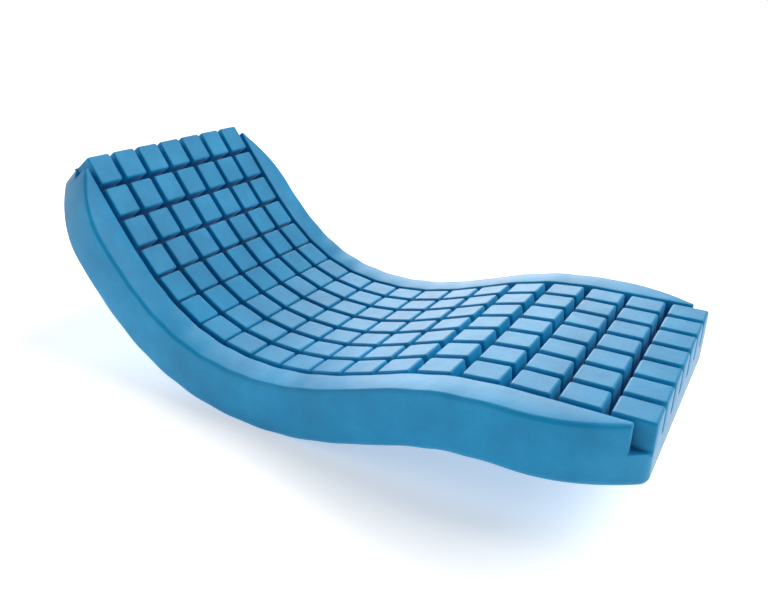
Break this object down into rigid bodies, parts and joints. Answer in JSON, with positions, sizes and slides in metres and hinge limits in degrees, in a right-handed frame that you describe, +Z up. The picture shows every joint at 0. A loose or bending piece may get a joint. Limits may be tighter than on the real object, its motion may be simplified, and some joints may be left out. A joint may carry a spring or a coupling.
{
  "type": "pressure relief mattress",
  "caption": "Blue foam pressure relief mattress cut into blocks by cross and lengthwise grooves, bent to a raised backrest and knees.",
  "frame": {"origin": "centre of the seat row's underside", "axes": "+X from head to foot, +Y across, +Z up"},
  "size_m": [1.795, 0.88, 0.6209],
  "materials": {
    "foam": "matte"
  },
  "bodies": {
    "row_01": {"row_01_web": "foam", "row_01_borders": "foam", "row_01_blocks": "foam"},
    "row_02": {"row_02_web": "foam", "row_02_borders": "foam", "row_02_blocks": "foam"},
    "row_03": {"row_03_web": "foam", "row_03_borders": "foam", "row_03_blocks": "foam"},
    "row_04": {"row_04_web": "foam", "row_04_borders": "foam", "row_04_blocks": "foam"},
    "row_05": {"row_05_web": "foam", "row_05_borders": "foam", "row_05_blocks": "foam"},
    "row_06": {"row_06_web": "foam", "row_06_borders": "foam", "row_06_blocks": "foam"},
    "row_07": {"row_07_web": "foam", "row_07_borders": "foam", "row_07_blocks": "foam"},
    "row_08": {"row_08_web": "foam", "row_08_borders": "foam", "row_08_blocks": "foam"},
    "row_09": {"row_09_web": "foam", "row_09_borders": "foam", "row_09_blocks": "foam"},
    "row_10": {"row_10_web": "foam", "row_10_borders": "foam", "row_10_blocks": "foam"},
    "row_11": {"row_11_web": "foam", "row_11_borders": "foam", "row_11_blocks": "foam"},
    "row_12": {"row_12_web": "foam", "row_12_borders": "foam", "row_12_blocks": "foam"},
    "row_13": {"row_13_web": "foam", "row_13_borders": "foam", "row_13_blocks": "foam"},
    "row_14": {"row_14_web": "foam", "row_14_borders": "foam", "row_14_blocks": "foam"},
    "row_15": {"row_15_web": "foam", "row_15_borders": "foam", "row_15_blocks": "foam"},
    "row_16": {"row_16_web": "foam", "row_16_borders": "foam", "row_16_blocks": "foam"},
    "row_17": {"row_17_web": "foam", "row_17_borders": "foam", "row_17_blocks": "foam"},
    "row_18": {"row_18_web": "foam", "row_18_borders": "foam", "row_18_blocks": "foam"}
  },
  "joints": [
    {"name": "backrest_follow_01", "type": "hinge", "parent": "row_02", "child": "row_01", "pos_m": [-0.66094, 0, 0.4982], "axis": [0, 1, 0], "range_deg": [-0.43, 0.0815]},
    {"name": "backrest_follow_02", "type": "hinge", "parent": "row_03", "child": "row_02", "pos_m": [-0.59336, 0, 0.41236], "axis": [0, 1, 0], "range_deg": [-1.59, 0.26]},
    {"name": "backrest_follow_03", "type": "hinge", "parent": "row_04", "child": "row_03", "pos_m": [-0.52346, 0, 0.3284], "axis": [0, 1, 0], "range_deg": [-4.29, 0.66]},
    {"name": "backrest_follow_04", "type": "hinge", "parent": "row_05", "child": "row_04", "pos_m": [-0.4475, 0, 0.24987], "axis": [0, 1, 0], "range_deg": [-7.16, 1.09]},
    {"name": "backrest_follow_05", "type": "hinge", "parent": "row_06", "child": "row_05", "pos_m": [-0.36237, 0, 0.1814], "axis": [0, 1, 0], "range_deg": [-9.86, 1.5]},
    {"name": "backrest_bend", "type": "hinge", "parent": "row_07", "child": "row_06", "pos_m": [-0.26679, 0, 0.12848], "axis": [0, 1, 0], "range_deg": [-11, 1.65]},
    {"name": "backrest_follow_07", "type": "hinge", "parent": "row_08", "child": "row_07", "pos_m": [-0.16287, 0, 0.09476], "axis": [0, 1, 0], "range_deg": [-10.23, 1.55]},
    {"name": "backrest_follow_08", "type": "hinge", "parent": "row_09", "child": "row_08", "pos_m": [-0.05462, 0, 0.08], "axis": [0, 1, 0], "range_deg": [-7.78, 1.18]},
    {"name": "thigh_bend", "type": "hinge", "parent": "row_09", "child": "row_10", "pos_m": [0.05462, 0, 0.08], "axis": [0, -1, 0], "range_deg": [-7.59, 1.14]},
    {"name": "thigh_follow_10", "type": "hinge", "parent": "row_10", "child": "row_11", "pos_m": [0.16292, 0, 0.09444], "axis": [0, -1, 0], "range_deg": [-7.45, 1.13]},
    {"name": "thigh_follow_11", "type": "hinge", "parent": "row_11", "child": "row_12", "pos_m": [0.26843, 0, 0.12276], "axis": [0, -1, 0], "range_deg": [-4.53, 0.7]},
    {"name": "thigh_follow_12", "type": "hinge", "parent": "row_12", "child": "row_13", "pos_m": [0.37139, 0, 0.1593], "axis": [0, -1, 0], "range_deg": [-1.18, 0.19]},
    {"name": "knee_follow_13", "type": "hinge", "parent": "row_13", "child": "row_14", "pos_m": [0.47359, 0, 0.19791], "axis": [0, 1, 0], "range_deg": [-5.29, 0.81]},
    {"name": "knee_bend", "type": "hinge", "parent": "row_14", "child": "row_15", "pos_m": [0.5789, 0, 0.22699], "axis": [0, 1, 0], "range_deg": [-8.27, 1.24]},
    {"name": "knee_follow_15", "type": "hinge", "parent": "row_15", "child": "row_16", "pos_m": [0.6873, 0, 0.24061], "axis": [0, 1, 0], "range_deg": [-4.63, 0.71]},
    {"name": "knee_follow_16", "type": "hinge", "parent": "row_16", "child": "row_17", "pos_m": [0.79644, 0, 0.24547], "axis": [0, 1, 0], "range_deg": [-0.4711, 0.0877]},
    {"name": "knee_follow_17", "type": "hinge", "parent": "row_17", "child": "row_18", "pos_m": [0.90562, 0, 0.24948], "axis": [0, 1, 0], "range_deg": [-0.42, 0.08]}
  ],
  "couplings": [
    {"joint": "backrest_follow_01", "follows": "backrest_bend", "ratio": 0.037284},
    {"joint": "backrest_follow_02", "follows": "backrest_bend", "ratio": 0.14288},
    {"joint": "backrest_follow_03", "follows": "backrest_bend", "ratio": 0.38794},
    {"joint": "backrest_follow_04", "follows": "backrest_bend", "ratio": 0.64934},
    {"joint": "backrest_follow_05", "follows": "backrest_bend", "ratio": 0.89441},
    {"joint": "backrest_follow_07", "follows": "backrest_bend", "ratio": 0.92874},
    {"joint": "backrest_follow_08", "follows": "backrest_bend", "ratio": 0.70585},
    {"joint": "thigh_follow_10", "follows": "thigh_bend", "ratio": 0.9785},
    {"joint": "thigh_follow_11", "follows": "thigh_bend", "ratio": 0.5944},
    {"joint": "thigh_follow_12", "follows": "thigh_bend", "ratio": 0.15296},
    {"joint": "knee_follow_13", "follows": "knee_bend", "ratio": 0.63663},
    {"joint": "knee_follow_15", "follows": "knee_bend", "ratio": 0.5576},
    {"joint": "knee_follow_16", "follows": "knee_bend", "ratio": 0.054542},
    {"joint": "knee_follow_17", "follows": "knee_bend", "ratio": 0.048361}
  ]
}
